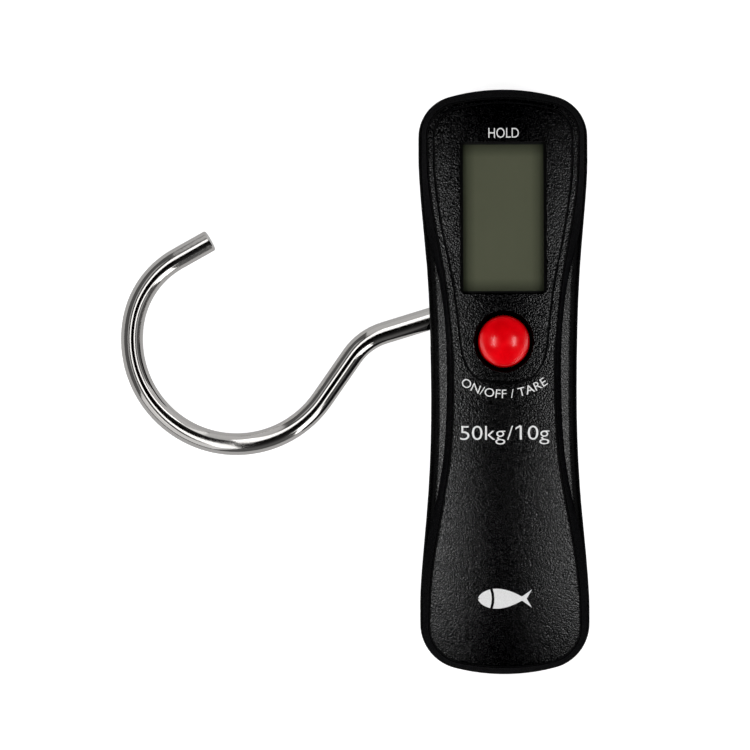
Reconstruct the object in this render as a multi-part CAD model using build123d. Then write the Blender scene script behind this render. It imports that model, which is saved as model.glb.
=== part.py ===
"""Digital hanging scale for fish: a two-piece casing with a display, a red button and a steel wire hook.

The scale lies on its back.  The origin is the middle of the flat back face, +Z is the way the display
faces, +Y points to the display end and +X is the side opposite the hook.  All sizes are in millimetres.
"""
from build123d import *
import math
import os

# ---------------------------------------------------------------- driving dimensions
LENGTH = 140.5  # casing, along Y
PARTING_Z = 12.0  # plane between the rear and the front half of the casing
TERRACE_Z = 20.5  # the two finger recesses beside the waist, halfway across them
TERRACE_X = 14.5  # halfway across them
TERRACE_RADIUS = 56.0  # their crown from side to side
TERRACE_ROUND = 2.8  # rounding between the recesses and the casing's side
FACE_EDGE_Z = 23.5  # height at which the face outline is stated
FACE_TOP_Z = 25.0  # crown of the face on the centre line
POD_STEP = 1.0  # height of the display panel above the face
POD_ROUND = 0.85
FACE_ROUND = 0.8
CROWN_RADIUS = 90.0  # the face is crowned from side to side
WALL = 2.2
SHOULDER_Z = 17.2  # top of the room inside, beside the face
ROOF_Z = 21.6  # underside of the face
FLOOR_Z = 2.0  # inside of the back
SLIP = 0.15  # gap around a loose piece

PIVOT_Y = 20.6  # hook pin
PIVOT_Z = PARTING_Z
WIRE_R = 2.65
PIN_R = 2.0
EYE_HOLE_R = 2.06
EYE_R = 5.2
EYE_THICK = 3.0
SHANK_ANGLE = 16.8  # the shank leaves the pin so many degrees below -X
BIGHT_RADIUS = 25.3  # centre line of the wire
HOOK_REACH = 90.0  # from the pin to the farthest point of the centre line

BUTTON_Y = 9.7
BUTTON_R = 6.15
BUTTON_FLANGE_R = 7.1  # flange that keeps the button in
RING_R = 7.45  # sunken ring round the button

WINDOW_HALF_X = 10.4
WINDOW_LOW_Y = 21.0
WINDOW_HIGH_Y = 57.6
GLASS_TOP_Z = 24.4  # outside of the display window
GLASS_LOW_Z = 23.2
GLASS_FLANGE_Z = 22.45  # underside of the flange that it is glued by
LCD_Z = (20.9, 22.4)

CELL_HALF = 6.35  # half the section of the load cell
CELL_LOW_Y = -13.5
CELL_HIGH_Y = 26.5
FORK_HALF = 2.4  # half the gap that the hook's eye sits in
FORK_LOW_Y = 13.6
FLEXURE_HOLES = (1.6, 8.6)  # the two holes that let the load cell bend
PLATE_X = (-7.0, 7.0)  # steel plate under the load cell
PLATE_Y = (-15.5, 0.0)
PLATE_Z = (3.65, 5.65)

BATTERY_R = 5.25
BATTERY_LENGTH = 44.5
NUB = 1.0
BATTERY_X = 5.6
BATTERY_Z = 8.0
CONTACT_LOW_Y = -65.5
CONTACT_HIGH_Y = -18.1
CONTACT_THICK = 0.4

DOOR_HALF_X = 11.2
DOOR_LIP = 0.9
DOOR_HIGH_Y = -17.0
DOOR_PLATE_Z = 1.5

BOARD_Z = 19.0  # underside of the circuit board
BOARD_TOP_Z = 20.2
RIB_X = DOOR_HALF_X + DOOR_LIP + 0.35  # ribs beside the batteries

CASE_SCREWS = [(9.0, 62.4), (-9.0, 62.4), (10.9, -14.0), (-10.9, -14.0)]
BOARD_SCREWS = [(8.3, 4.5), (-8.3, 4.5), (0.0, 61.6)]
CELL_SCREWS = [(0.0, -10.6), (0.0, -4.2)]
SLOT_Y = (8.6, 29.5)  # the slot that the hook swings in
SLOT_Z = (6.8, 15.2)
BOSS_R = 2.9  # posts that the case screws bite into
PILOT_R = 1.25
HEAD_R = 2.6  # pockets for the screw heads


# ---------------------------------------------------------------- outlines
class Outline:
    """A closed outline, symmetric about X = 0: two shallow end arcs, four corner arcs, two side curves."""

    def __init__(self, top, bottom, sides):
        self.top = top  # (y, radius of the end arc, half-width beside the corner, corner radius)
        self.bottom = bottom
        self.sides = sides  # (half-width, y) from the top down

    def inset(self, distance):
        def end(values):
            y, radius, half, corner = values
            return (y - math.copysign(distance, y), radius - distance, half - distance, corner - distance)

        return Outline(end(self.top), end(self.bottom), [(x - distance, y) for x, y in self.sides])

    def towards(self, other, share):
        sides = [mix(a, b, share) for a, b in zip(self.sides, other.sides)]
        return Outline(mix(self.top, other.top, share), mix(self.bottom, other.bottom, share), sides)

    def face(self, z):
        end_top, corner_top, side_top = end_points(*self.top)
        end_bottom, corner_bottom, side_bottom = end_points(*self.bottom)
        right = [side_top] + self.sides + [side_bottom]
        edges = [
            ThreePointArc(flip(end_top), (0, self.top[0]), end_top),
            ThreePointArc(end_top, corner_top, side_top),
            Spline(*right, tangents=[(0, -1), (0, -1)]),
            ThreePointArc(side_bottom, corner_bottom, end_bottom),
            ThreePointArc(end_bottom, (0, self.bottom[0]), flip(end_bottom)),
            ThreePointArc(flip(end_bottom), flip(corner_bottom), flip(side_bottom)),
            Spline(*[flip(p) for p in reversed(right)], tangents=[(0, 1), (0, 1)]),
            ThreePointArc(flip(side_top), flip(corner_top), flip(end_top)),
        ]
        return Pos(0, 0, z) * make_face(Curve() + edges)


def mix(a, b, share):
    return tuple(p + share * (q - p) for p, q in zip(a, b))


def flip(point):
    return (-point[0], point[1])


def end_points(y, radius, half, corner):
    """Where an end arc meets the corner arc, the corner arc's middle, and where it meets the side."""
    sign = math.copysign(1, y)
    arc_y = abs(y) - radius
    centre_x = half - corner
    centre_y = arc_y + math.sqrt((radius - corner) ** 2 - centre_x**2)
    lean = math.atan2(centre_y - arc_y, centre_x)

    def on_corner(angle):
        return (centre_x + corner * math.cos(angle), sign * (centre_y + corner * math.sin(angle)))

    return on_corner(lean), on_corner(lean / 2), on_corner(0)


CASING = Outline(
    (LENGTH / 2, 48.0, 20.3, 10.0),
    (-LENGTH / 2, 48.0, 20.35, 11.0),
    [
        (20.3, 52.0), (19.75, 43.0), (18.95, 34.0), (18.15, 23.0), (17.65, 9.0), (17.5, -4.0),
        (17.75, -17.0), (18.55, -30.0), (19.65, -42.0), (20.35, -53.0),
    ],
)
# the raised face, where its wall meets the terraces ...
FACE_BASE = Outline(
    (69.4, 47.0, 19.0, 9.0),
    (-69.6, 47.0, 19.1, 10.0),
    [
        (18.95, 50.0), (18.5, 43.5), (17.0, 32.5), (15.6, 25.5), (14.35, 16.0), (13.8, 4.0),
        (13.9, -6.0), (14.6, -18.0), (16.6, -31.0), (18.25, -41.0), (19.1, -52.0),
    ],
)
# ... and where it meets the crown
FACE_EDGE = Outline(
    (68.1, 46.0, 17.95, 8.0),
    (-68.5, 46.0, 17.8, 8.7),
    [
        (17.9, 50.0), (17.3, 43.5), (15.6, 32.5), (14.45, 25.5), (13.3, 16.0), (12.6, 4.0),
        (12.65, -6.0), (13.4, -18.0), (15.25, -31.0), (16.8, -41.0), (17.8, -52.0),
    ],
)
# the raised panel round the display and the button: its upper end, its sides and its lowest point
POD_END = (67.3, 45.0, 16.95, 7.2)
POD_SIDES = [
    (16.8, 50.0), (16.05, 43.5), (14.5, 34.0), (13.0, 27.0),
    (11.75, 19.0), (10.8, 10.5), (9.75, 5.0), (6.8, 0.8),
]
POD_LOW_Y = -0.7


def pod_face(z):
    """The display panel's outline, with one curve round its lower end."""
    end_top, corner_top, side_top = end_points(*POD_END)
    right = [side_top] + POD_SIDES
    left = [flip(point) for point in reversed(right)]
    edges = [
        ThreePointArc(flip(end_top), (0, POD_END[0]), end_top),
        ThreePointArc(end_top, corner_top, side_top),
        Spline(*right, (0, POD_LOW_Y), *left, tangents=[(0, -1), (0, 1)]),
        ThreePointArc(flip(side_top), flip(corner_top), flip(end_top)),
    ]
    return Pos(0, 0, z) * make_face(Curve() + edges)


# ---------------------------------------------------------------- small helpers
def block(x0, x1, y0, y1, z0, z1):
    return Pos((x0 + x1) / 2, (y0 + y1) / 2, (z0 + z1) / 2) * Box(x1 - x0, y1 - y0, z1 - z0)


def post(x, y, radius, z0, z1):
    return Pos(x, y, (z0 + z1) / 2) * Cylinder(radius, z1 - z0)


def crown(top, radius):
    """Everything under a surface that is crowned from side to side and falls away towards both ends."""
    far_y, far_drop, low_z, reach = 75.0, 2.3, 8.0, 24.0
    drops = [(0.0, 0.0), (42.0, 0.1), (60.0, 0.75), (far_y, far_drop)]
    line = [(-y, drop) for y, drop in reversed(drops[1:])] + drops
    end_z = top - far_drop
    ridge = Spline(*[(0, y, top - drop) for y, drop in line])
    sides = Polyline((0, far_y, end_z), (0, far_y, low_z), (0, -far_y, low_z), (0, -far_y, end_z))
    profile = make_face(Curve() + [ridge, sides])
    spread = math.degrees(math.asin(reach / radius))
    axis = Axis((0, 0, top - radius), (0, 1, 0))
    return revolve(profile.rotate(axis, -spread), axis, 2 * spread)


def outer_edges(solid, z):
    """The closed chain of edges round a solid's outside at one height."""
    return solid.edges().filter_by(lambda e: abs(e.center().Z - z) < 0.01 and e.bounding_box().size.Z < 0.01)


# ---------------------------------------------------------------- casing
def rim_edges(solid, low_z):
    """The curved edges where a wall meets the crown; the wall's upright edges are straight."""
    return solid.edges().filter_by(lambda e: e.center().Z > low_z and e.geom_type != GeomType.LINE)


def front_form():
    """The outside of the front half, solid."""
    draft, over = 0.15, 3.0
    lower = loft([CASING.face(PARTING_Z), CASING.inset(draft).face(TERRACE_Z + over)], ruled=True)
    fall = TERRACE_RADIUS - math.sqrt(TERRACE_RADIUS**2 - TERRACE_X**2)
    lower &= crown(TERRACE_Z + fall, TERRACE_RADIUS)
    lower = fillet(rim_edges(lower, PARTING_Z + 1), TERRACE_ROUND)
    lower = chamfer(outer_edges(lower, PARTING_Z), 0.25)
    foot_z, low_z, high_z = 17.4, 19.0, 26.5
    rise = FACE_EDGE_Z - TERRACE_Z
    wall_low = FACE_BASE.towards(FACE_EDGE, (low_z - TERRACE_Z) / rise)
    wall_high = FACE_BASE.towards(FACE_EDGE, (high_z - TERRACE_Z) / rise)
    raised = loft([wall_low.face(low_z), wall_high.face(high_z)], ruled=True)
    raised += extrude(wall_low.face(foot_z), low_z - foot_z)
    raised &= crown(FACE_TOP_Z, CROWN_RADIUS)
    raised = fillet(rim_edges(raised, TERRACE_Z + 1), FACE_ROUND)
    pod = extrude(pod_face(TERRACE_Z), 8.0) & crown(FACE_TOP_Z + POD_STEP, CROWN_RADIUS + POD_STEP)
    pod = fillet(rim_edges(pod, TERRACE_Z + 1), POD_ROUND)
    return lower + raised + pod


def window_outline(grow, z):
    """The window opening, with cut lower corners, grown by a distance all round."""
    left, right = -WINDOW_HALF_X - grow, WINDOW_HALF_X + grow
    low, high = WINDOW_LOW_Y - grow, WINDOW_HIGH_Y + grow
    cut, nick = 0.9, 0.35
    outline = Polyline(
        (left + cut, low), (right - cut, low), (right, low + cut), (right, high - nick),
        (right - nick, high), (left + nick, high), (left, high - nick), (left, low + cut), (left + cut, low),
    )
    return Pos(0, 0, z) * make_face(outline)


def window_block(grow, low_z, high_z):
    """The room under the window opening that its flange lies in."""
    half_x, end = WINDOW_HALF_X + grow, 0.4 + grow
    return block(-half_x, half_x, WINDOW_LOW_Y - end, WINDOW_HIGH_Y + end, low_z, high_z)


def hook_slot():
    slot = block(-25, -12, *SLOT_Y, *SLOT_Z)
    return fillet(slot.edges().filter_by(Axis.X), 2.0)


def front_shell():
    shell = front_form()
    shell -= extrude(CASING.inset(WALL).face(PARTING_Z - 1), SHOULDER_Z - PARTING_Z + 1)
    shell -= extrude(FACE_EDGE.inset(0.9).face(PARTING_Z), ROOF_Z - PARTING_Z)
    shell -= extrude(window_outline(0, ROOF_Z - 1), 6.0)
    shell -= window_block(0.4, ROOF_Z - 1, GLASS_LOW_Z + 0.05)
    shell -= post(0, BUTTON_Y, BUTTON_R + 0.2, ROOF_Z - 1, 30)
    shell -= post(0, BUTTON_Y, BUTTON_FLANGE_R + 0.3, ROOF_Z - 1, 22.6)
    ring_low, ring_high = 24.5, 26.2
    ring = Cone(BUTTON_R + 0.25, RING_R + 0.1, ring_high - ring_low)
    shell -= Pos(0, BUTTON_Y, (ring_low + ring_high) / 2) * ring
    for x, y in CASE_SCREWS:
        shell += post(x, y, BOSS_R, PARTING_Z, ROOF_Z + 0.2)
        shell -= post(x, y, PILOT_R, PARTING_Z - 1, 17.6)
    for x, y in BOARD_SCREWS:
        shell += post(x, y, 2.0, BOARD_TOP_Z, ROOF_Z + 0.2)
        shell -= post(x, y, 0.85, BOARD_TOP_Z - 1, 22.6)
    return shell - hook_slot()


def rear_form():
    draft = 1.3
    form = loft([CASING.inset(draft).face(0), CASING.face(PARTING_Z)], ruled=True)
    form = fillet(outer_edges(form, 0), 2.5)
    return chamfer(outer_edges(form, PARTING_Z), 0.25)


def door_channel(slack):
    """The room for the battery door: a plate with a lip along each side, open at the lower end."""
    end_y = -LENGTH / 2 - 5
    outer = block(-DOOR_HALF_X - slack, DOOR_HALF_X + slack, end_y, DOOR_HIGH_Y + slack, -1, DOOR_PLATE_Z)
    lip_x = DOOR_HALF_X + DOOR_LIP + slack
    lips = block(-lip_x, lip_x, end_y, DOOR_HIGH_Y + slack, 1.1 - slack / 2, FLOOR_Z + slack / 2)
    return outer + lips


def rear_shell():
    form = rear_form()
    inside_low = CASING.inset(1.1 + WALL).face(FLOOR_Z)
    inside_high = CASING.inset(WALL).face(PARTING_Z + 0.1)
    shell = form - loft([inside_low, inside_high], ruled=True)
    shell -= door_channel(SLIP)
    stop = (-17.7, -16.7)  # wall between the batteries and the load cell
    shell += block(-RIB_X, RIB_X, *stop, 2.2, PARTING_Z)
    for side in (-1, 1):
        low_x, high_x = sorted((side * RIB_X, side * (RIB_X + 1.0)))
        shell += block(low_x, high_x, -62.0, stop[1], DOOR_PLATE_Z, 9.0)
    shell += block(-9.0, 9.0, -67.9, CONTACT_LOW_Y - CONTACT_THICK, 2.3, PARTING_Z) & form
    shell += block(*PLATE_X, *PLATE_Y, DOOR_PLATE_Z, PLATE_Z[0])
    for x, y in CASE_SCREWS:
        shell += post(x, y, BOSS_R + 0.1, DOOR_PLATE_Z, PARTING_Z)
    for x, y in CASE_SCREWS:
        shell -= post(x, y, HEAD_R, -1, 3.0)
        shell -= post(x, y, 1.4, -1, PARTING_Z + 1)
    for x, y in CELL_SCREWS:
        shell -= post(x, y, HEAD_R + 0.4, -1, 2.4)
        shell -= post(x, y, 1.7, -1, 6.0)
    return shell - hook_slot()


def battery_door():
    door = rear_form() & door_channel(0)
    for step in range(5):  # grip ribs near the lower end
        y = -60.0 + 2.2 * step
        door -= block(-6.0, 6.0, y, y + 1.0, -0.1, 0.5)
    return door


# ---------------------------------------------------------------- display and button
def display_window():
    glass = extrude(window_outline(-0.1, GLASS_LOW_Z), GLASS_TOP_Z - GLASS_LOW_Z)
    return glass + window_block(0.3, GLASS_FLANGE_Z, GLASS_LOW_Z)


def lcd_panel():
    return block(-10.6, 10.6, 20.5, 58.1, *LCD_Z)


def lcd_frame():
    return block(-11.7, 11.7, 19.4, 59.2, BOARD_TOP_Z, 21.5) - block(-10.7, 10.7, 20.4, 58.2, 20, 22)


def contact_strips():
    return [block(x - 0.6, x + 0.6, 22.5, 56.5, BOARD_TOP_Z, LCD_Z[0]) for x in (-9.6, 9.6)]


def circuit_board():
    board = block(-10.5, 10.5, 2.5, 59.2, BOARD_Z, BOARD_TOP_Z)
    board += block(-3.4, 3.4, 59.0, 64.2, BOARD_Z, BOARD_TOP_Z)
    for x, y in BOARD_SCREWS:
        board -= post(x, y, 1.0, BOARD_Z - 1, BOARD_TOP_Z + 1)
    return board


def chip_blob():
    radius, height = 5.0, 1.6
    ball_r = (radius**2 + height**2) / (2 * height)
    ball = Pos(0, 42.0, BOARD_Z - height + ball_r) * Sphere(ball_r)
    return ball & block(-6, 6, 36, 48, BOARD_Z - 3, BOARD_Z)


def board_components():
    places = [(6.0, 32.0, 1.6, 0.8), (6.0, 35.0, 1.6, 0.8), (-6.5, 31.0, 3.2, 1.6), (-6.5, 50.0, 1.6, 0.8)]
    chips = [block(x - a, x + a, y - b, y + b, BOARD_Z - 1.0, BOARD_Z) for x, y, a, b in places]
    crystal = Pos(6.5, 50.0, BOARD_Z - 1.5) * Rot(90, 0, 0) * Cylinder(1.5, 6.0)
    return chips + [crystal]


def switch_body():
    body = block(-3, 3, BUTTON_Y - 3, BUTTON_Y + 3, BOARD_TOP_Z, 22.0)
    return body - post(0, BUTTON_Y, 1.75, 20.6, 23)


def switch_plunger():
    return post(0, BUTTON_Y, 1.6, 21.5, 23.0)


def button_cap():
    rim_z, apex_z = 26.3, 28.2
    height = apex_z - rim_z
    ball_r = (BUTTON_R**2 + height**2) / (2 * height)
    ball = Pos(0, BUTTON_Y, apex_z - ball_r) * Sphere(ball_r)
    cap = post(0, BUTTON_Y, BUTTON_R, ROOF_Z, apex_z) & ball
    rim = cap.edges().filter_by(lambda e: abs(e.center().Z - rim_z) < 0.05)
    cap = fillet(rim, 0.8)
    cap += post(0, BUTTON_Y, BUTTON_FLANGE_R, ROOF_Z, 22.4)
    cap -= post(0, BUTTON_Y, 4.7, ROOF_Z - 1, 25.0)
    return cap + post(0, BUTTON_Y, 1.5, 23.0, 25.2)


# ---------------------------------------------------------------- load cell and hook
def load_cell():
    low, high = PIVOT_Z - CELL_HALF, PIVOT_Z + CELL_HALF
    cell = block(-CELL_HALF, CELL_HALF, CELL_LOW_Y, CELL_HIGH_Y, low, high)
    cell = chamfer(cell.edges(), 0.4)
    for y in FLEXURE_HOLES:
        cell -= post(0, y, 3.2, low - 1, high + 1)
    cell -= block(-0.9, 0.9, *FLEXURE_HOLES, low - 1, high + 1)
    cell -= block(-10, 10, FORK_LOW_Y, CELL_HIGH_Y + 1, PIVOT_Z - FORK_HALF, PIVOT_Z + FORK_HALF)
    cell -= post(0, PIVOT_Y, PIN_R + 0.02, low - 1, high + 1)
    for x, y in CELL_SCREWS:
        cell -= post(x, y, 1.55, low - 1, 15.0)
    return cell


def strain_gauges():
    gauges = []
    for side in (-1, 1):
        for y in FLEXURE_HOLES:
            x0, x1 = sorted((side * CELL_HALF, side * (CELL_HALF + 0.3)))
            gauges.append(block(x0, x1, y - 1.9, y + 1.9, PIVOT_Z - 1.5, PIVOT_Z + 1.5))
    return gauges


def gauge_sealant():
    pads = []
    for side in (-1, 1):
        x0, x1 = sorted((side * CELL_HALF, side * (CELL_HALF + 0.9)))
        pad = block(x0, x1, -1.0, 11.2, PIVOT_Z - 3.0, PIVOT_Z + 3.2)
        for gauge in strain_gauges():
            pad -= gauge
        pads.append(pad)
    return pads


def anchor_plate():
    plate = block(*PLATE_X, *PLATE_Y, *PLATE_Z)
    for x, y in CELL_SCREWS:
        plate -= post(x, y, 1.7, 3, 6)
    return plate


def hook_pin():
    pin = post(0, PIVOT_Y, PIN_R, 5.5, 18.95) + post(0, PIVOT_Y, 3.2, 4.3, 5.6)
    groove = post(0, PIVOT_Y, PIN_R + 1, 18.38, 18.82) - post(0, PIVOT_Y, 1.6, 18, 19)
    return pin - groove


def pin_clip():
    ring = post(0, PIVOT_Y, 3.4, 18.4, 18.8) - post(0, PIVOT_Y, 1.65, 18, 19)
    return ring - block(-1.2, 1.2, PIVOT_Y, PIVOT_Y + 5, 18, 19)


class Trace:
    """A flat path drawn by a point that moves on and turns."""

    def __init__(self, start, heading):
        self.at = Vector(*start)
        self.heading = math.radians(heading)
        self.edges = []

    def run(self, length):
        end = self.at + Vector(math.cos(self.heading), math.sin(self.heading)) * length
        self.edges.append(Line(self.at, end))
        self.at = end

    def bend(self, radius, turn):
        """Turn by so many degrees, positive to the left."""
        side = math.copysign(1, turn)
        to_centre = self.heading + side * math.pi / 2
        centre = self.at + Vector(math.cos(to_centre), math.sin(to_centre)) * radius

        def on_arc(share):
            angle = to_centre + math.pi + share * math.radians(turn)
            return centre + Vector(math.cos(angle), math.sin(angle)) * radius

        self.edges.append(ThreePointArc(self.at, on_arc(0.5), on_arc(1)))
        self.at = on_arc(1)
        self.heading += math.radians(turn)


def hook():
    """Bent wire with a flattened eye.  Play on the pin lets it droop until its far end is at Z = 0."""
    neck = 9.2  # where the flattened eye ends and the round wire starts
    heading = 180 + SHANK_ANGLE
    start = Vector(math.cos(math.radians(heading)), math.sin(math.radians(heading))) * neck
    wire = Trace(start, heading)
    wire.run(21.0)
    wire.bend(14.7, 38.0)
    wire.run(12.6)
    wire.bend(BIGHT_RADIUS, -156.0)
    wire.bend(21.1, -49.8)
    wire.run(9.3)
    path = Wire(wire.edges)
    body = sweep(Plane(path @ 0, z_dir=path % 0) * Circle(WIRE_R), path)
    tip = body.edges().filter_by(GeomType.CIRCLE).sort_by_distance(path @ 1)[0]
    body = chamfer(tip, 0.3)
    blade = Pos(neck / 2, 0, 0) * Box(neck + 0.4, 2 * 2.9, EYE_THICK)
    blade = Rot(0, 0, heading) * blade
    body += blade + Cylinder(EYE_R, EYE_THICK)
    droop = math.asin((PIVOT_Z - WIRE_R) / HOOK_REACH)
    rest = Plane(
        (0, PIVOT_Y, PIVOT_Z),
        x_dir=(math.cos(droop), 0, math.sin(droop)),
        z_dir=(-math.sin(droop), 0, math.cos(droop)),
    )
    body = rest.location * body
    print("hook: lowest point at Z =", round(body.bounding_box().min.Z, 3))
    return body - post(0, PIVOT_Y, EYE_HOLE_R, 5, 19)


# ---------------------------------------------------------------- power
def battery(side):
    """An AAA cell lying along Y: the left one has its nub up, the right one down."""
    body_length = BATTERY_LENGTH - NUB
    if side < 0:
        low, nub = CONTACT_HIGH_Y - BATTERY_LENGTH, CONTACT_HIGH_Y - NUB / 2
    else:
        low, nub = CONTACT_LOW_Y + NUB, CONTACT_LOW_Y + NUB / 2
    lie = Rot(90, 0, 0)
    can = Pos(side * BATTERY_X, low + body_length / 2, BATTERY_Z) * lie * Cylinder(BATTERY_R, body_length)
    can = fillet(can.edges().filter_by(GeomType.CIRCLE), 0.5)
    return can + Pos(side * BATTERY_X, nub, BATTERY_Z) * lie * Cylinder(1.9, NUB)


def battery_contacts():
    low = block(-8.8, 8.8, CONTACT_LOW_Y - CONTACT_THICK, CONTACT_LOW_Y, 3.5, 11.5)
    plates = [low]
    for side in (-1, 1):
        x0, x1 = sorted((side * 1.4, side * 9.8))
        y0, y1 = CONTACT_HIGH_Y, CONTACT_HIGH_Y + CONTACT_THICK
        plate = block(x0, x1, y0, y1, 3.5, 12.6)
        tab_x = side * BATTERY_X
        plates.append(plate + block(tab_x - 1, tab_x + 1, y0, y1, 12, 14.2))
    return plates


def battery_springs():
    height = CONTACT_HIGH_Y - CONTACT_LOW_Y - BATTERY_LENGTH
    wire_r = 0.25
    springs = []
    for side, low in ((-1, CONTACT_LOW_Y), (1, CONTACT_HIGH_Y - height)):
        coil = Helix(pitch=0.8, height=height - 2 * wire_r, radius=2.6)
        spring = sweep(Plane(coil @ 0, z_dir=coil % 0) * Circle(wire_r), coil, is_frenet=True)
        springs.append(Pos(side * BATTERY_X, low + wire_r, BATTERY_Z) * Rot(-90, 0, 0) * spring)
    return springs


# ---------------------------------------------------------------- wires and screws
def lead(points, radius, bend):
    path = FilletPolyline(*points, radius=bend)
    return sweep(Plane(path @ 0, z_dir=path % 0) * Circle(radius), path)


def battery_lead(side):
    x, run_x, run_z = side * BATTERY_X, side * 7.2, 16.6
    y = CONTACT_HIGH_Y + CONTACT_THICK / 2
    start = [(x, y, 14.2), (x, y, run_z), (run_x, -14.6, run_z)]
    return lead(start + [(run_x, 9.5, run_z), (run_x, 9.5, BOARD_Z)], 0.55, 0.9)


def cell_leads():
    leads = []
    for i in range(4):
        y = 2.0 + 1.7 * i
        end_y = y + 8.5
        face_x, out_x = CELL_HALF + 0.9, 9.4
        points = [(face_x, y, PIVOT_Z), (out_x, y, PIVOT_Z), (out_x, end_y, 16.4), (out_x, end_y, BOARD_Z)]
        leads.append(lead(points, 0.4, 0.9))
    return leads


def screw(x, y, head_r, head_low, head_high, shank_r, tip_z):
    body = post(x, y, head_r, head_low, head_high) + post(x, y, shank_r, head_high - 0.1, tip_z)
    for turn in (0, 90):
        body -= Pos(x, y, head_low) * Rot(0, 0, turn) * Box(head_r * 1.2, 0.7, 1.4)
    return body


def case_screws():
    return [screw(x, y, 2.3, 1.2, 3.0, 1.2, 16.8) for x, y in CASE_SCREWS]


def board_screws():
    return [screw(x, y, 1.7, 17.9, BOARD_Z, 0.8, 22.2) for x, y in BOARD_SCREWS]


def cell_screws():
    return [screw(x, y, 2.75, 0.4, 2.4, 1.5, 14.0) for x, y in CELL_SCREWS]


# ---------------------------------------------------------------- all parts
def main():
    makers = [
        front_shell, rear_shell, battery_door, display_window, lcd_panel, lcd_frame, contact_strips,
        circuit_board, chip_blob, board_components, switch_body, switch_plunger, button_cap, load_cell,
        strain_gauges, gauge_sealant, anchor_plate, hook_pin, pin_clip, hook, battery_contacts,
        battery_springs, cell_leads, case_screws, board_screws, cell_screws,
    ]
    shapes = {maker.__name__: maker() for maker in makers}
    for side, place, colour in ((-1, "left", "black"), (1, "right", "red")):
        shapes[f"battery_{place}"] = battery(side)
        shapes[f"battery_lead_{colour}"] = battery_lead(side)
    os.makedirs("parts", exist_ok=True)
    for name, shape in shapes.items():
        if isinstance(shape, list):
            shape = Compound(children=[solid for piece in shape for solid in piece.solids()])
        export_step(shape, f"parts/{name}.step")


if __name__ == "__main__":
    main()
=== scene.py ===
import math

import bpy
from mathutils import Matrix, Vector
from mathutils.bvhtree import BVHTree


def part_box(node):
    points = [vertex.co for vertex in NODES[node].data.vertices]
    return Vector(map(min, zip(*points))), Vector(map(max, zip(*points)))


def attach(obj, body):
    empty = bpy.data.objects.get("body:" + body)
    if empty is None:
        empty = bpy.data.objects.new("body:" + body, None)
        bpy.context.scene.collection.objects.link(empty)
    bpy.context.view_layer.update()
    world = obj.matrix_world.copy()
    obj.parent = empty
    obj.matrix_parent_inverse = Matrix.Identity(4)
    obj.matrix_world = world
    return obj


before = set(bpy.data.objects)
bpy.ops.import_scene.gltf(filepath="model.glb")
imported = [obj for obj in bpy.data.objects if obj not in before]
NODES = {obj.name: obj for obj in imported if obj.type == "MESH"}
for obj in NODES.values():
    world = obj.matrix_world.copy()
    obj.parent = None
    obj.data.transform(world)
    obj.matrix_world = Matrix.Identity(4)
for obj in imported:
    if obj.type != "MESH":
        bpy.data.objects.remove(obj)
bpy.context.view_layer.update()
MM = 0.001

# ---------------------------------------------------------------- camera and floor
VIEW_WIDTH = 0.180  # width of the picture at the height of the casing's face
VIEW_CENTRE = Vector((-0.03096, 0.00177, 0.020))
VIEW_ROLL = -0.24  # degrees
LENS = 1200.0
SENSOR = 36.0


def make_camera():
    data = bpy.data.cameras.new("camera")
    data.lens = LENS
    data.sensor_width = SENSOR
    data.clip_start = 0.01
    camera = bpy.data.objects.new("camera", data)
    bpy.context.scene.collection.objects.link(camera)
    camera.location = VIEW_CENTRE + Vector((0, 0, VIEW_WIDTH * LENS / SENSOR))
    camera.rotation_euler = (0, 0, math.radians(VIEW_ROLL))
    bpy.context.scene.camera = camera


def light_group(name, state, *nodes):
    """The nodes that a light is for (INCLUDE), or that it leaves out (EXCLUDE)."""
    group = bpy.data.collections.new(name)
    for node in nodes:
        group.objects.link(NODES[node])
    for member in group.collection_objects:
        member.light_linking.link_state = state
    return group


def plane(name, z, base, emission):
    """A square sheet of floor, grey of the given base, that glows."""
    size = 1.6
    mesh = bpy.data.meshes.new(name)
    corners = [(-size, -size), (size, -size), (size, size), (-size, size)]
    mesh.from_pydata([(x, y, z) for x, y in corners], [], [(0, 1, 2, 3)])
    material = bpy.data.materials.new(name)
    material.use_nodes = True
    shader = material.node_tree.nodes["Principled BSDF"]
    for socket, value in (
        ("Base Color", (base, base, base, 1)),
        ("Roughness", 0.9),
        ("Specular IOR Level", 0.1),
        ("Emission Color", (1, 1, 1, 1)),
        ("Emission Strength", emission),
    ):
        shader.inputs[socket].default_value = value
    mesh.materials.append(material)
    floor = bpy.data.objects.new(name, mesh)
    bpy.context.scene.collection.objects.link(floor)
    return floor


def make_floor():
    """A white floor, and a darker one that takes its place in reflections: it glows for the hook only."""
    floor = plane("floor", -0.00002, 0.5, 0.92)
    floor.visible_glossy = False
    reflected = plane("reflected_floor", -0.00004, 0.06, 0.42)
    reflected.visible_camera = False
    reflected.visible_diffuse = False
    reflected.light_linking.receiver_collection = light_group("floor_glow", "INCLUDE", "hook")


# ---------------------------------------------------------------- light
# The polished hook, the glossy button and the grained rest have softboxes of their own.  Angles are in
# degrees: azimuth from +X towards +Y, polar from straight up, and spread as seen from the object, round
# it and up and down.
LIT_POINT = Vector((0, 0.01, 0.02))
FAR, NEAR = 1.2, 0.4
BODY_TURN = 11  # the body's softboxes stand a little towards the lower end

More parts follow.
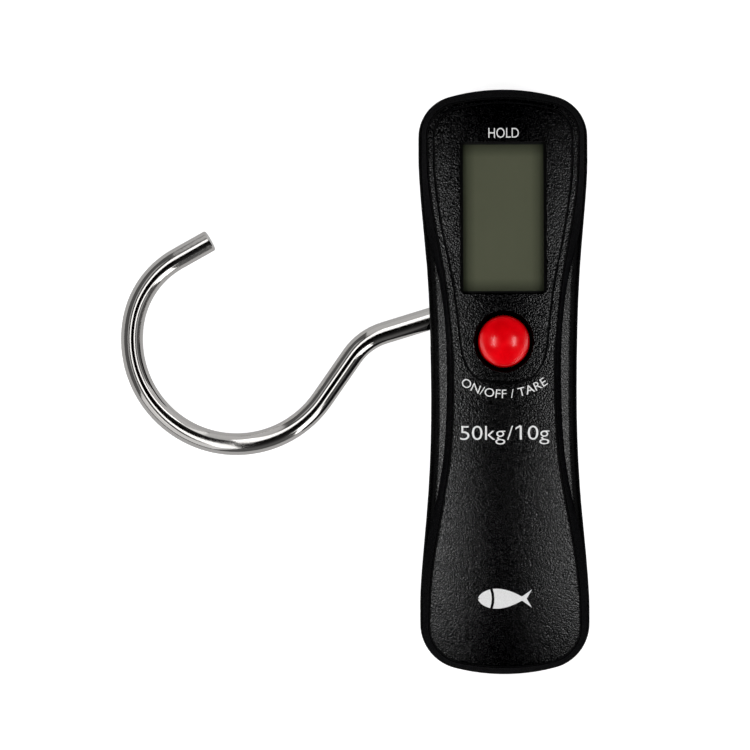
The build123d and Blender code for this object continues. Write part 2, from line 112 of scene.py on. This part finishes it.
BUTTON_RIMS = [  # azimuth, polar, spread, radiance
    (205, 57, (80, 5), 9.0),
    (335, 57, (80, 5), 9.0),
    (90, 72, (56, 10), 2.5),
    (270, 72, (56, 10), 5.0),
]
HOOK_PANELS = [
    (60, 66, (46, 56), 0.45),
    (105, 66, (46, 56), 0.45),
    (228, 64, (44, 36), 0.65),
    (301, 64, (16, 40), 2.0),
]
SIDE_AZIMUTHS = (45, 135, 225, 315)
SKY = [(0.0, 0.10), (0.5, 0.10), (0.8, 0.02), (1.0, 0.0)]  # sine of the elevation, radiance
BLACK_LEVEL = 0.0022


def panel(name, azimuth, polar, spread, radiance, group, distance=FAR):
    """A softbox that faces the object."""
    turn, lean = math.radians(azimuth), math.radians(polar)
    away = Vector((math.sin(lean) * math.cos(turn), math.sin(lean) * math.sin(turn), math.cos(lean)))
    side = Vector((-math.sin(turn), math.cos(turn), 0))
    data = bpy.data.lights.new(name, "AREA")
    data.shape = "RECTANGLE"
    data.size, data.size_y = (2 * distance * math.tan(math.radians(angle / 2)) for angle in spread)
    data.energy = radiance * math.pi * data.size * data.size_y
    lamp = bpy.data.objects.new(name, data)
    bpy.context.scene.collection.objects.link(lamp)
    facing = Matrix((side, away.cross(side), away)).transposed().to_4x4()
    lamp.matrix_world = Matrix.Translation(LIT_POINT + distance * away) @ facing
    lamp.light_linking.receiver_collection = group


def make_softboxes():
    body = light_group("all_but_hook_and_button", "EXCLUDE", "hook", "button_cap")
    hook = light_group("hook_only", "INCLUDE", "hook")
    button = light_group("button_only", "INCLUDE", "button_cap")
    for azimuth, turn in ((0, -BODY_TURN), (180, BODY_TURN)):
        panel(f"softbox_{azimuth}", azimuth + turn, 28, (13, 13), 25.5, body, NEAR)
        panel(f"button_strip_{azimuth}", azimuth, 26, (20, 6), 31.0, button)
        panel(f"hook_strip_{azimuth}", azimuth, 22, (90, 12), 1.5, hook)
        panel(f"hook_glow_{azimuth}", azimuth, 44, (60, 12), 0.35, hook)
    for azimuth, polar, spread, radiance in BUTTON_RIMS:
        panel(f"button_rim_{azimuth}", azimuth, polar, spread, radiance, button)
    for azimuth, polar, spread, radiance in HOOK_PANELS:
        panel(f"hook_panel_{azimuth}", azimuth, polar, spread, radiance, hook)
    for azimuth in SIDE_AZIMUTHS:
        panel(f"side_{azimuth}", azimuth, 70, (84, 36), 0.3, body)


def make_world():
    """A dim studio, darker overhead."""
    world = bpy.data.worlds.new("studio")
    bpy.context.scene.world = world
    world.use_nodes = True
    nodes, links = world.node_tree.nodes, world.node_tree.links
    coords = nodes.new("ShaderNodeTexCoord")
    split = nodes.new("ShaderNodeSeparateXYZ")
    ramp = nodes.new("ShaderNodeValToRGB")
    links.new(coords.outputs["Generated"], split.inputs[0])
    links.new(split.outputs["Z"], ramp.inputs[0])
    links.new(ramp.outputs[0], nodes["Background"].inputs["Color"])
    elements = ramp.color_ramp.elements
    while len(elements) < len(SKY):
        elements.new(0.5)
    for element, (place, value) in zip(elements, SKY):
        element.position = place
        element.color = (value, value, value, 1)


def set_tone():
    """Plain colours, with blacks a little deeper."""
    look = bpy.context.scene.view_settings
    look.view_transform = "Standard"
    look.use_curve_mapping = True
    look.curve_mapping.black_level = (BLACK_LEVEL,) * 3
    look.curve_mapping.update()


# ---------------------------------------------------------------- materials
class Material:
    """A procedural material: a shader, and patterns in object coordinates for colour, gloss and bump."""

    def __init__(self, name, colour, roughness, metallic=0.0):
        self.data = bpy.data.materials.new(name)
        self.data.use_nodes = True
        self.nodes, self.links = self.data.node_tree.nodes, self.data.node_tree.links
        self.shader = self.nodes["Principled BSDF"]
        self.shader.inputs["Base Color"].default_value = (*colour, 1)
        self.shader.inputs["Roughness"].default_value = roughness
        self.shader.inputs["Metallic"].default_value = metallic
        self.coords = self.nodes.new("ShaderNodeTexCoord")
        self.bump_node = None

    def axes(self, source):
        """X, Y and Z of the place (Object) or of the way the surface faces (Normal)."""
        split = self.nodes.new("ShaderNodeSeparateXYZ")
        self.links.new(self.coords.outputs[source], split.inputs[0])
        return split.outputs

    def noise(self, scale, detail=2.0, stretch=(1, 1, 1)):
        mapping = self.nodes.new("ShaderNodeMapping")
        mapping.inputs["Scale"].default_value = stretch
        noise = self.nodes.new("ShaderNodeTexNoise")
        noise.inputs["Scale"].default_value = scale
        noise.inputs["Detail"].default_value = detail
        self.links.new(self.coords.outputs["Object"], mapping.inputs["Vector"])
        self.links.new(mapping.outputs[0], noise.inputs["Vector"])
        return noise.outputs["Fac"]

    def dots(self, scale):
        """Rounded dots, one to each cell of the given scale: 0 in a dot's middle, and more round it."""
        cells = self.nodes.new("ShaderNodeTexVoronoi")
        cells.feature = "SMOOTH_F1"
        cells.inputs["Scale"].default_value = scale
        cells.inputs["Smoothness"].default_value = 0.4
        self.links.new(self.coords.outputs["Object"], cells.inputs["Vector"])
        return cells.outputs["Distance"]

    def spread(self, value, low, high, from_low=0.3, from_high=0.7):
        """value, remapped: a noise lies mostly between 0.3 and 0.7."""
        remap = self.nodes.new("ShaderNodeMapRange")
        for name, number in (
            ("From Min", from_low),
            ("From Max", from_high),
            ("To Min", low),
            ("To Max", high),
        ):
            remap.inputs[name].default_value = number
        self.links.new(value, remap.inputs["Value"])
        return remap.outputs[0]

    def maths(self, operation, a, b=0.0):
        node = self.nodes.new("ShaderNodeMath")
        node.operation = operation
        for socket, value in zip(node.inputs, (a, b)):
            if isinstance(value, (int, float)):
                socket.default_value = value
            else:
                self.links.new(value, socket)
        return node.outputs[0]

    def times(self, a, b):
        return self.maths("MULTIPLY", a, b)

    def mix(self, share, colour_a, colour_b):
        mix = self.nodes.new("ShaderNodeMix")
        mix.data_type = "RGBA"
        self.links.new(share, mix.inputs["Factor"])
        for socket, colour in ((mix.inputs["A"], colour_a), (mix.inputs["B"], colour_b)):
            if isinstance(colour, tuple):
                socket.default_value = (*colour, 1)
            else:
                self.links.new(colour, socket)
        return mix.outputs["Result"]

    def paint(self, colour):
        self.links.new(colour, self.shader.inputs["Base Color"])

    def gloss(self, roughness):
        self.links.new(roughness, self.shader.inputs["Roughness"])

    def bump(self, height, distance, strength=1.0):
        bump = self.nodes.new("ShaderNodeBump")
        bump.inputs["Distance"].default_value = distance
        if isinstance(strength, (int, float)):
            bump.inputs["Strength"].default_value = strength
        else:
            self.links.new(strength, bump.inputs["Strength"])
        self.links.new(height, bump.inputs["Height"])
        if self.bump_node:
            self.links.new(self.bump_node.outputs[0], bump.inputs["Normal"])
        self.links.new(bump.outputs[0], self.shader.inputs["Normal"])
        self.bump_node = bump

    def set(self, **values):
        for name, value in values.items():
            self.shader.inputs[name.replace("_", " ")].default_value = value
        return self


GRAIN_SCALE = 2700  # dots per metre
GRAIN_HEIGHT = 0.057 * MM
STEEP_ROUGHNESS = 0.22  # of the rounded edges
WALL_PAINTED_LIGHT, WALL_ROUGHNESS = 7.0, 2.2  # of the upright walls, as multiples of the face's; the wall colour multiple is painted light
RECESS_GRAIN, RECESS_ROUGHNESS = 0.5, 1.3  # of the finger recesses, likewise
RECESS_Z = (21.6 * MM, 23.0 * MM)  # from recess to face


def grained_plastic(name, colour, roughness):
    """Black moulded plastic: spark-eroded grain on the face and on the upright walls, half as deep in the
    finger recesses, and smooth rounded edges between them; the upright walls are painted lighter, as
    painted light."""
    m = Material(name, colour, roughness)
    facing_up = m.axes("Normal")["Z"]
    height = m.axes("Object")["Z"]
    flat = m.spread(facing_up, 0.0, 1.0, 0.80, 0.95)
    upright = m.spread(facing_up, 1.0, 0.0, 0.15, 0.5)
    dots = m.dots(GRAIN_SCALE)

    tone = m.nodes.new("ShaderNodeVectorMath")
    tone.operation = "SCALE"
    tone.inputs[0].default_value = colour
    speck = m.spread(dots, 1.9, 0.5, 0.1, 0.6)
    # painted light: the upright walls are painted up to seven times lighter than the face, a lit copy of
    # the same plastic; the grain dots vary the colour too
    m.links.new(m.times(speck, m.spread(upright, 1.0, WALL_PAINTED_LIGHT, 0.0, 1.0)), tone.inputs["Scale"])
    m.paint(tone.outputs[0])

    gloss = m.spread(flat, STEEP_ROUGHNESS, roughness, 0.0, 1.0)
    gloss = m.times(gloss, m.spread(upright, 1.0, WALL_ROUGHNESS, 0.0, 1.0))
    gloss = m.times(gloss, m.spread(height, RECESS_ROUGHNESS, 1.0, *RECESS_Z))
    m.gloss(m.times(gloss, m.spread(m.noise(3400, 1.0), 0.6, 1.4)))

    m.bump(dots, -GRAIN_HEIGHT, m.times(flat, m.spread(height, RECESS_GRAIN, 1.0, *RECESS_Z)))
    m.bump(dots, -GRAIN_HEIGHT, upright)
    return m.set(Specular_IOR_Level=0.15)


def plain_finish(name, colour, roughness, metallic=0.0, scale=900, bump=0.00001, stretch=(1, 1, 1)):
    """A small part's finish, with a little mottling, uneven gloss and fine bump."""
    m = Material(name, colour, roughness, metallic)
    noise = m.noise(scale, 3.0, stretch)
    dark = tuple(0.82 * c for c in colour)
    m.paint(m.mix(m.spread(noise, 0, 1), dark, colour))
    m.gloss(m.spread(noise, roughness * 0.8, roughness * 1.2))
    m.bump(noise, bump)
    return m


def button_plastic():
    """Glossy red plastic, with painted shade darkening it round the cap's edge."""
    painted_shade_radii = (5.3 * MM, 6.0 * MM)
    low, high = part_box("button_cap")
    m = plain_finish("button_plastic", (0.70, 0.0015, 0.005), 0.2, scale=400, bump=0.000002)
    place = m.nodes.new("ShaderNodeMapping")
    place.inputs["Location"].default_value = (0, -(low[1] + high[1]) / 2, 0)
    place.inputs["Scale"].default_value = (1, 1, 0)
    m.links.new(m.coords.outputs["Object"], place.inputs["Vector"])
    radius = m.nodes.new("ShaderNodeVectorMath")
    radius.operation = "LENGTH"
    m.links.new(place.outputs[0], radius.inputs[0])
    red = m.shader.inputs["Base Color"].links[0].from_socket
    # painted shade: the red is mixed towards black, down to 0.6 of it, from 5.3 to 6.0 mm out from the
    # cap's middle
    m.paint(m.mix(m.spread(radius.outputs["Value"], 1.0, 0.6, *painted_shade_radii), (0.0, 0.0, 0.0), red))
    return m.set(Specular_IOR_Level=0.17)


def lcd_glass():
    """Greenish grey liquid crystal with no segments on, with painted shade darkening it beside the frame,
    and black beyond its shown area.
    """
    border, frame_shade = (0.009, 0.009, 0.009), (0.0, 0.004, 0.0)
    border_edge, shade_width = 0.08 * MM, 3.0 * MM
    m = Material("lcd", border, 0.35)
    place = m.axes("Object")
    shown, shaded = [], []
    for axis, centre, half in (("X", 0.0, 9.7 * MM), ("Y", 39.35 * MM, 17.6 * MM)):
        distance = m.maths("ABSOLUTE", m.maths("SUBTRACT", place[axis], centre))
        shown.append(m.spread(distance, 1.0, 0.0, half - border_edge, half))
        shaded.append(m.spread(distance, 1.0, 0.4, half - shade_width, half))
    glass = m.mix(m.spread(m.noise(60), 0, 1), (0.136, 0.146, 0.093), (0.147, 0.157, 0.101))
    # painted shade: within 3 mm of the frame the glass darkens towards a deep green, down to 0.4 of its
    # colour
    glass = m.mix(m.times(*shaded), frame_shade, glass)
    m.paint(m.mix(m.times(*shown), border, glass))
    return m.set(Specular_IOR_Level=0.1)


def window_plastic():
    """Clear plastic, a little smudged."""
    m = Material("window_plastic", (0.01, 0.01, 0.01), 0.05).set(Alpha=0.12)
    m.data.surface_render_method = "BLENDED"
    m.gloss(m.spread(m.noise(250, 3.0), 0.03, 0.08))
    return m


def hook_steel():
    """Polished steel wire with faint pits."""
    m = Material("hook_steel", (0.74, 0.72, 0.70), 0.07, 1.0)
    m.gloss(m.spread(m.noise(160, 4.0), 0.05, 0.12))
    m.bump(m.noise(900, 4.0), 0.000004)
    return m


def make_materials():
    return {
        "casing": grained_plastic("casing_plastic", (0.0012, 0.0012, 0.0014), 0.24),
        "door": grained_plastic("door_plastic", (0.0016, 0.0016, 0.0018), 0.30),
        "window": window_plastic(),
        "lcd": lcd_glass(),
        "button": button_plastic(),
        "hook": hook_steel(),
        "black": plain_finish("black_plastic", (0.02, 0.02, 0.021), 0.5),
        "white_plastic": plain_finish("white_plastic", (0.7, 0.7, 0.67), 0.4),
        "rubber": plain_finish("conductive_rubber", (0.04, 0.04, 0.042), 0.8),
        "board": plain_finish("board_lacquer", (0.01, 0.11, 0.035), 0.3, scale=2000),
        "resin": plain_finish("chip_resin", (0.008, 0.008, 0.009), 0.3, scale=500, bump=0.00004),
        "component": plain_finish("component_ceramic", (0.32, 0.22, 0.12), 0.45),
        "aluminium": plain_finish(
            "machined_aluminium", (0.76, 0.77, 0.79), 0.32, 1.0, scale=300, bump=0.000006, stretch=(1, 8, 8)
        ),
        "gauge": plain_finish("gauge_foil", (0.65, 0.36, 0.10), 0.35),
        "sealant": plain_finish("silicone_sealant", (0.75, 0.75, 0.72), 0.45, scale=250, bump=0.00005),
        "steel": plain_finish("zinc_plated_steel", (0.62, 0.63, 0.66), 0.3, 1.0),
        "spring": plain_finish("nickel_plated_steel", (0.70, 0.68, 0.62), 0.22, 1.0),
        "battery": plain_finish("battery_sleeve", (0.03, 0.09, 0.16), 0.3, 0.4),
        "red_wire": plain_finish("red_insulation", (0.62, 0.015, 0.012), 0.45),
        "black_wire": plain_finish("black_insulation", (0.015, 0.015, 0.015), 0.45),
        "white_wire": plain_finish("white_insulation", (0.78, 0.78, 0.75), 0.45),
        "ink": plain_finish("label_ink", (0.86, 0.86, 0.86), 0.5, scale=4000, bump=0.000004),
    }


NODE_FINISH = {
    "front_shell": "casing",
    "rear_shell": "casing",
    "battery_door": "door",
    "display_window": "window",
    "lcd_panel": "lcd",
    "lcd_frame": "black",
    "contact_strips": "rubber",
    "circuit_board": "board",
    "chip_blob": "resin",
    "board_components": "component",
    "switch_body": "black",
    "switch_plunger": "white_plastic",
    "button_cap": "button",
    "load_cell": "aluminium",
    "strain_gauges": "gauge",
    "gauge_sealant": "sealant",
    "anchor_plate": "steel",
    "hook_pin": "steel",
    "pin_clip": "spring",
    "hook": "hook",
    "battery_left": "battery",
    "battery_right": "battery",
    "battery_contacts": "spring",
    "battery_springs": "spring",
    "battery_lead_red": "red_wire",
    "battery_lead_black": "black_wire",
    "cell_leads": "white_wire",
    "case_screws": "steel",
    "board_screws": "steel",
    "cell_screws": "steel",
}


def dress_nodes(materials):
    for node, finish in NODE_FINISH.items():
        NODES[node].data.materials.clear()
        NODES[node].data.materials.append(materials[finish].data)


# ---------------------------------------------------------------- printed labels
CAPITAL = 0.729  # height of the built-in font's capitals at size 1
FILM = 0.04 * MM  # thickness of the ink


def text_mesh(name, words, height, width=None, thinner=0.0, gap=1.0):
    """Words as a flat mesh, centred on the origin, with capitals of the given height, stretched to the
    given width.  thinner takes that much off the strokes' sides, and gap narrows the spaces."""
    data = bpy.data.curves.new(name, "FONT")
    data.body = words
    data.align_x, data.align_y = "CENTER", "BOTTOM_BASELINE"
    data.resolution_u = 6
    data.offset = -thinner
    data.space_word = gap
    text = bpy.data.objects.new(name, data)
    bpy.context.scene.collection.objects.link(text)
    bpy.context.view_layer.update()
    mesh = bpy.data.meshes.new_from_object(text)
    bpy.data.objects.remove(text)
    for v in mesh.vertices:
        v.co = Vector((v.co.x, v.co.y, 0)) * (height / CAPITAL)
    if width:
        xs = [v.co.x for v in mesh.vertices]
        stretch = width / (max(xs) - min(xs))
        middle = (max(xs) + min(xs)) / 2
        for v in mesh.vertices:
            v.co.x = (v.co.x - middle) * stretch
    return mesh


def flag_of_one(mesh, x, height):
    """Adds the slanted stroke that the plain figure one lacks."""
    tip, foot, thick = (x, height), (x - 0.34 * height, height * 0.80), 0.12 * height
    corners = [tip, foot, (foot[0], foot[1] - thick), (tip[0], tip[1] - thick)]
    start = len(mesh.vertices)
    mesh.vertices.add(4)
    for i, corner in enumerate(corners):
        mesh.vertices[start + i].co = (*corner, 0)
    loops = len(mesh.loops)
    mesh.loops.add(4)
    mesh.polygons.add(1)
    mesh.polygons[-1].loop_start = loops
    for i in range(4):
        mesh.loops[loops + i].vertex_index = start + i
    mesh.update(calc_edges=True)
    return mesh


def fish_mesh(length):
    """A plain fish pictogram in upright strips, with a gap behind its head."""
    columns, rows = 40, 4
    gill = (9, 10)  # columns left out
    body_end, tail_start = 0.86, 0.76
    body_half, tail_half, thinnest = 0.185, 0.17, 0.012
    notch_depth, snout_bulge = 0.10, 0.03
    points, faces = [], []
    for i in range(columns + 1):
        along = i / columns
        tail = max(0.0, (along - tail_start) / (1 - tail_start))
        body = body_half * math.sin(math.pi * min(along / body_end, 1.0) ** 0.75) ** 0.8
        half = max(body, tail_half * tail, thinnest)
        for j in range(rows + 1):
            across = 2 * j / rows - 1
            notch = notch_depth * (1 - abs(across)) * tail
            bulge = snout_bulge * (1 - across * across) if along < 0.5 else 0.0
            points.append(((along - notch - 0.5 + bulge) * length, across * half * length, 0))
    for i in range(columns):
        if i in gill:
            continue
        for j in range(rows):
            a = i * (rows + 1) + j
            faces.append((a, a + rows + 1, a + rows + 2, a + 1))
    mesh = bpy.data.meshes.new("fish")
    mesh.from_pydata(points, [], faces)
    return mesh


def straight(x, y):
    return lambda p: Vector((p.x + x, p.y + y, 0))


def curved(radius, centre_y):
    """Bends a line of words upwards at both ends, round a centre above it."""

    def move(p):
        angle = p.x / radius
        r = radius - p.y
        return Vector((r * math.sin(angle), centre_y - r * math.cos(angle), 0))

    return move


def face_tree():
    mesh = NODES["front_shell"].data
    return BVHTree.FromPolygons([v.co for v in mesh.vertices], [tuple(p.vertices) for p in mesh.polygons])


def print_on(mesh, tree, name, ink, move):
    """Lays a flat mesh on the casing's face as a thin closed film of ink."""
    points = []
    for v in mesh.vertices:
        p = move(v.co)
        hit = tree.ray_cast(Vector((p.x, p.y, 0.1)), Vector((0, 0, -1)))[0]
        points.append(Vector((p.x, p.y, hit.z)))
    low = [p - Vector((0, 0, FILM / 2)) for p in points]
    high = [p + Vector((0, 0, FILM)) for p in points]
    count = len(points)
    faces = [tuple(f.vertices) for f in mesh.polygons]
    uses = {}
    for face in faces:
        for a, b in zip(face, face[1:] + face[:1]):
            uses.setdefault(frozenset((a, b)), []).append((a, b))
    outline = [use[0] for use in uses.values() if len(use) == 1]
    bottom = [tuple(reversed(face)) for face in faces]
    top = [tuple(i + count for i in face) for face in faces]
    walls = [(b, a, a + count, b + count) for a, b in outline]
    solid = bpy.data.meshes.new(name)
    solid.from_pydata(low + high, [], bottom + top + walls)
    solid.validate()
    solid.materials.append(ink.data)
    label = bpy.data.objects.new(name, solid)
    bpy.context.scene.collection.objects.link(label)
    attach(label, "casing")


def make_labels(ink):
    tree = face_tree()
    words = text_mesh("hold", "HOLD", 2.5 * MM, 7.3 * MM)
    print_on(words, tree, "label_hold", ink, straight(0.12 * MM, 58.55 * MM))
    words = text_mesh("switch", "ON/OFF / TARE", 2.15 * MM, 22.5 * MM)
    print_on(words, tree, "label_switch", ink, curved(18.3 * MM, 14.4 * MM))
    words = text_mesh("capacity", "50kg / 10g", 3.6 * MM, 21.4 * MM, thinner=0.007, gap=0.15)
    words = flag_of_one(words, 3.8 * MM, 3.6 * MM)
    print_on(words, tree, "label_capacity", ink, straight(0.1 * MM, -13.9 * MM))
    print_on(fish_mesh(13.0 * MM), tree, "label_fish", ink, straight(0, -52.0 * MM))


make_camera()
make_floor()
make_softboxes()
make_world()
set_tone()
MATERIALS = make_materials()
dress_nodes(MATERIALS)
make_labels(MATERIALS["ink"])
